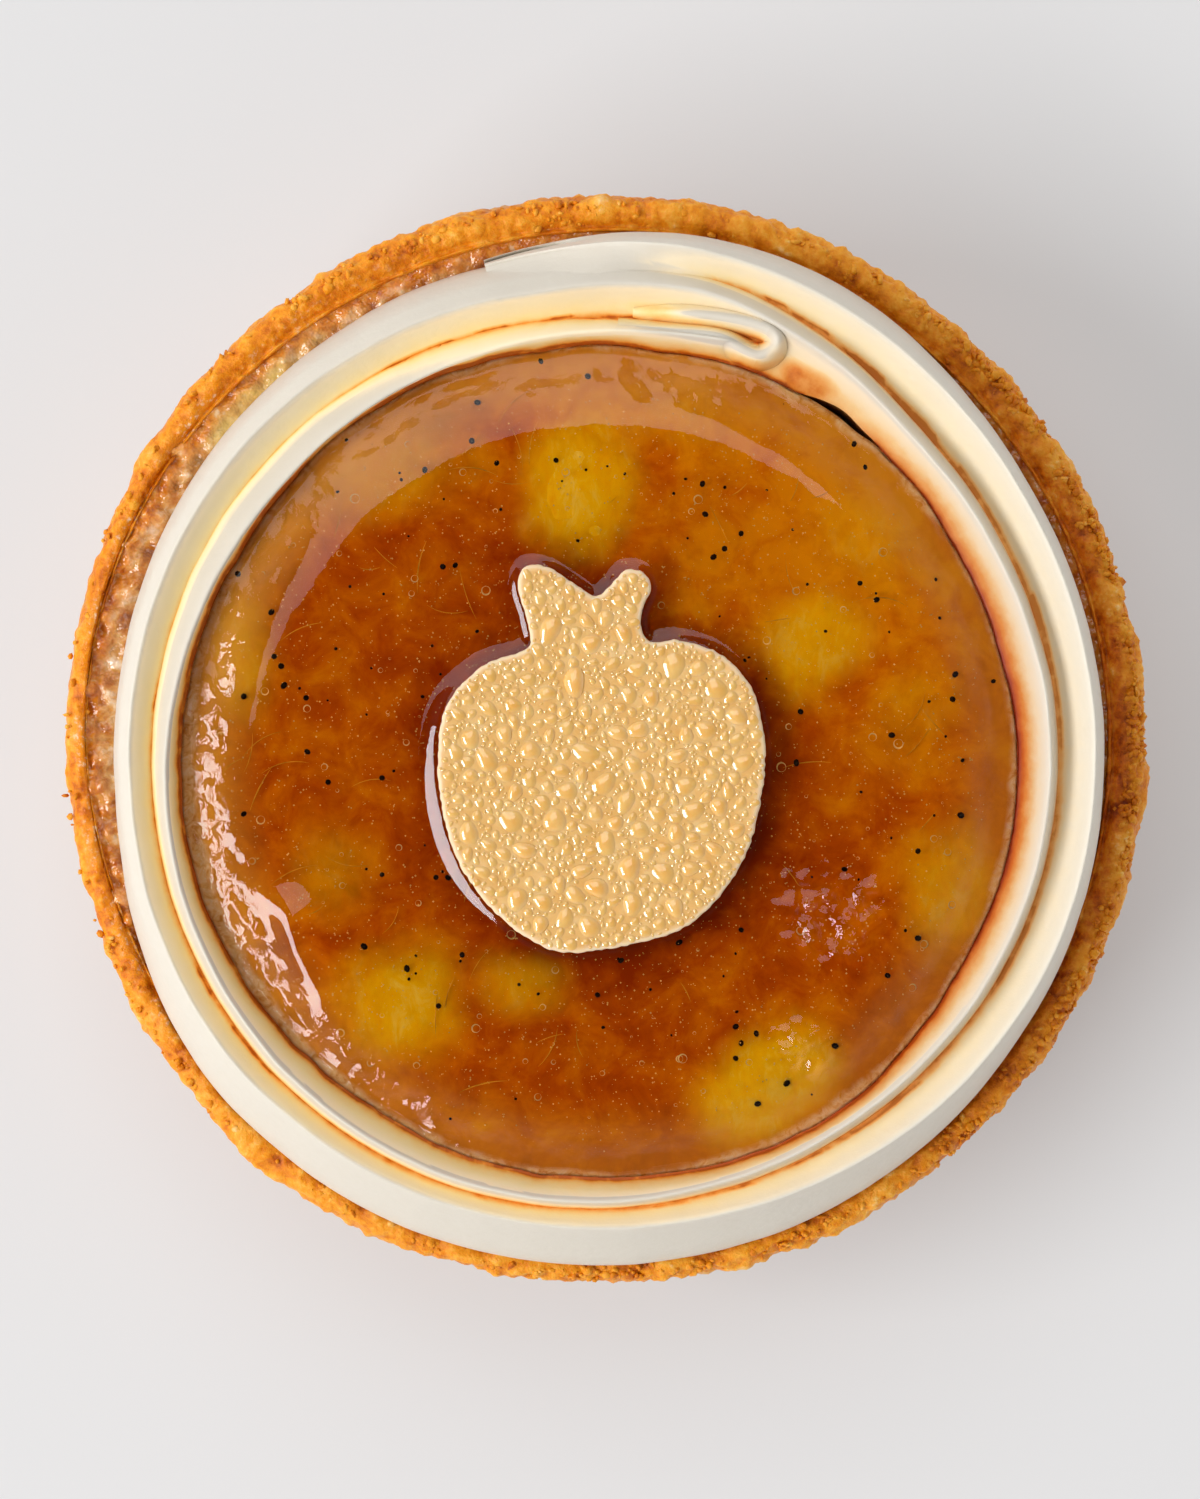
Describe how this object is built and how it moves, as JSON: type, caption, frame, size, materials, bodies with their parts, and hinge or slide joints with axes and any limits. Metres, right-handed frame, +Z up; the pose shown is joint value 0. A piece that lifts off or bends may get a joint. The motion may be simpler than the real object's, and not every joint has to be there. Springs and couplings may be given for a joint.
{
  "type": "apple tart",
  "caption": "Round single-portion tart: shortcrust shell, baked fruit filling, spiral-piped cream ring, jelly disc and a thin fruit-shaped chocolate plaque with water beads.",
  "frame": {"origin": "centre of the shell's flat underside", "axes": "+Z up, out of the tart's top; +Y towards the plaque's stem; -Y is the front; +X to the right seen from the front"},
  "size_m": [0.0807, 0.0806, 0.0296],
  "materials": {
    "crust": "dry crumbly golden-brown shortcrust, darker along the rim",
    "filling": "wet glazed baked fruit, lumpy, brown",
    "cream": "smooth ivory piped cream, soft satin",
    "jelly": "glossy translucent amber jelly with yellow fruit pieces, dark vanilla seeds and fine bubbles",
    "plaque": "blond chocolate plate, satin, covered with clear water beads"
  },
  "bodies": {
    "root": {"crust": "crust", "filling": "filling", "cream": "cream", "jelly": "jelly", "plaque": "plaque"}
  },
  "joints": []
}
